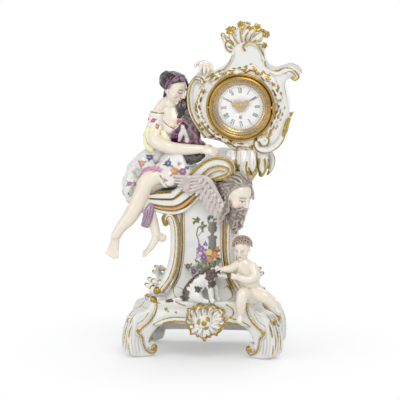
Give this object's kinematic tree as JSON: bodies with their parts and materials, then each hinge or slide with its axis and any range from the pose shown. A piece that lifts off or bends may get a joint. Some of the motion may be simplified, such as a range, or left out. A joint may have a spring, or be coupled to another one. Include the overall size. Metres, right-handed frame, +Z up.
{
  "type": "figural mantel clock",
  "caption": "Rococo porcelain mantel clock: a seated lady, a bearded winged head, a putto and a dog around a waisted pedestal that carries a cartouche clock case.",
  "frame": {"origin": "on the table, under the middle of the clock's whole width and depth", "axes": "+Z up, -Y towards someone facing the dial, +X to their right"},
  "size_m": [0.264, 0.1586, 0.4615],
  "materials": {
    "white_porcelain": "clear-glazed white hard-paste porcelain with gilding and painted flowers",
    "flesh_porcelain": "clear-glazed porcelain with cream flesh tones and painted dress",
    "dial_enamel": "white enamel on copper with black numerals",
    "bezel_glass": "clear flat glass",
    "gilt_brass": "gilt, polished",
    "case_brass": "turned and polished brass",
    "movement_brass": "brushed brass",
    "steel": "polished steel"
  },
  "bodies": {
    "root": {"plinth": "white_porcelain", "foot_front_left": "white_porcelain", "foot_front_right": "white_porcelain", "foot_back_left": "white_porcelain", "foot_back_right": "white_porcelain", "front_cartouche": "white_porcelain", "pedestal": "white_porcelain", "pilaster_front_left": "white_porcelain", "pilaster_front_right": "white_porcelain", "pilaster_back_left": "white_porcelain", "pilaster_back_right": "white_porcelain", "cornice": "white_porcelain", "console_scroll": "white_porcelain", "clock_case": "white_porcelain", "crest": "white_porcelain", "case_bracket": "white_porcelain", "elder_head": "flesh_porcelain", "lady_torso": "flesh_porcelain", "lady_head": "flesh_porcelain", "lady_right_arm": "flesh_porcelain", "lady_left_arm": "flesh_porcelain", "lady_right_leg": "flesh_porcelain", "lady_left_leg": "flesh_porcelain", "lady_skirt": "white_porcelain", "lady_cloak": "white_porcelain", "elder_wing": "white_porcelain", "putto_body": "flesh_porcelain", "putto_head": "flesh_porcelain", "putto_right_arm": "flesh_porcelain", "putto_left_arm": "flesh_porcelain", "putto_right_leg": "flesh_porcelain", "putto_left_leg": "flesh_porcelain", "dog": "white_porcelain", "bezel_flange": "case_brass", "bezel_hinge_pin": "steel", "dial": "dial_enamel", "front_plate": "movement_brass", "back_plate": "movement_brass", "escapement_platform": "steel", "back_ring": "case_brass", "door_hinge_pin": "steel", "strap_left": "case_brass", "strap_right": "case_brass"},
    "bezel": {"bezel_ring": "case_brass", "bezel_glass": "bezel_glass"},
    "rear_door": {"back_door": "case_brass"},
    "minute": {"minute_hand": "gilt_brass", "cannon_pinion": "movement_brass", "centre_wheel": "movement_brass"},
    "hour": {"hour_hand": "gilt_brass", "hour_wheel": "movement_brass"},
    "minute_wheel": {"minute_wheel": "movement_brass"},
    "barrel": {"mainspring_barrel": "movement_brass"},
    "winding_arbor": {"barrel_arbor": "steel"},
    "third": {"third_wheel": "movement_brass"},
    "balance": {"balance_wheel": "steel"}
  },
  "joints": [
    {"name": "bezel_hinge", "type": "hinge", "parent": "root", "child": "bezel", "pos_m": [0.09791, -0.0285, 0.343], "axis": [0, 0, 1], "range_deg": [0, 110]},
    {"name": "rear_door_hinge", "type": "hinge", "parent": "root", "child": "rear_door", "pos_m": [0.00621, 0.0387, 0.343], "axis": [0, 0, 1], "range_deg": [0, 100]},
    {"name": "minute_hand_turn", "type": "hinge", "parent": "root", "child": "minute", "pos_m": [0.05221, -0.0115, 0.343], "axis": [0, 1, 0], "continuous": true},
    {"name": "hour_hand_turn", "type": "hinge", "parent": "root", "child": "hour", "pos_m": [0.05221, -0.0115, 0.343], "axis": [0, 1, 0], "continuous": true},
    {"name": "minute_wheel_turn", "type": "hinge", "parent": "root", "child": "minute_wheel", "pos_m": [0.05942, -0.0115, 0.34805], "axis": [0, 1, 0], "continuous": true},
    {"name": "barrel_turn", "type": "hinge", "parent": "root", "child": "barrel", "pos_m": [0.05221, -0.0115, 0.329], "axis": [0, 1, 0], "continuous": true},
    {"name": "third_wheel_turn", "type": "hinge", "parent": "root", "child": "third", "pos_m": [0.04608, -0.0115, 0.35361], "axis": [0, 1, 0], "continuous": true},
    {"name": "winding_arbor_turn", "type": "hinge", "parent": "root", "child": "winding_arbor", "pos_m": [0.05221, -0.0115, 0.329], "axis": [0, 1, 0], "continuous": true},
    {"name": "balance_swing", "type": "hinge", "parent": "root", "child": "balance", "pos_m": [0.05221, 0.01449, 0.36], "axis": [0, 1, 0], "range_deg": [-135, 135], "stiffness_Nm_per_rad": 0.0001}
  ],
  "couplings": [
    {"joint": "hour_hand_turn", "follows": "minute_hand_turn", "ratio": 0.083333},
    {"joint": "minute_wheel_turn", "follows": "minute_hand_turn", "ratio": -0.33333},
    {"joint": "barrel_turn", "follows": "minute_hand_turn", "ratio": -0.16667},
    {"joint": "third_wheel_turn", "follows": "minute_hand_turn", "ratio": -6}
  ]
}
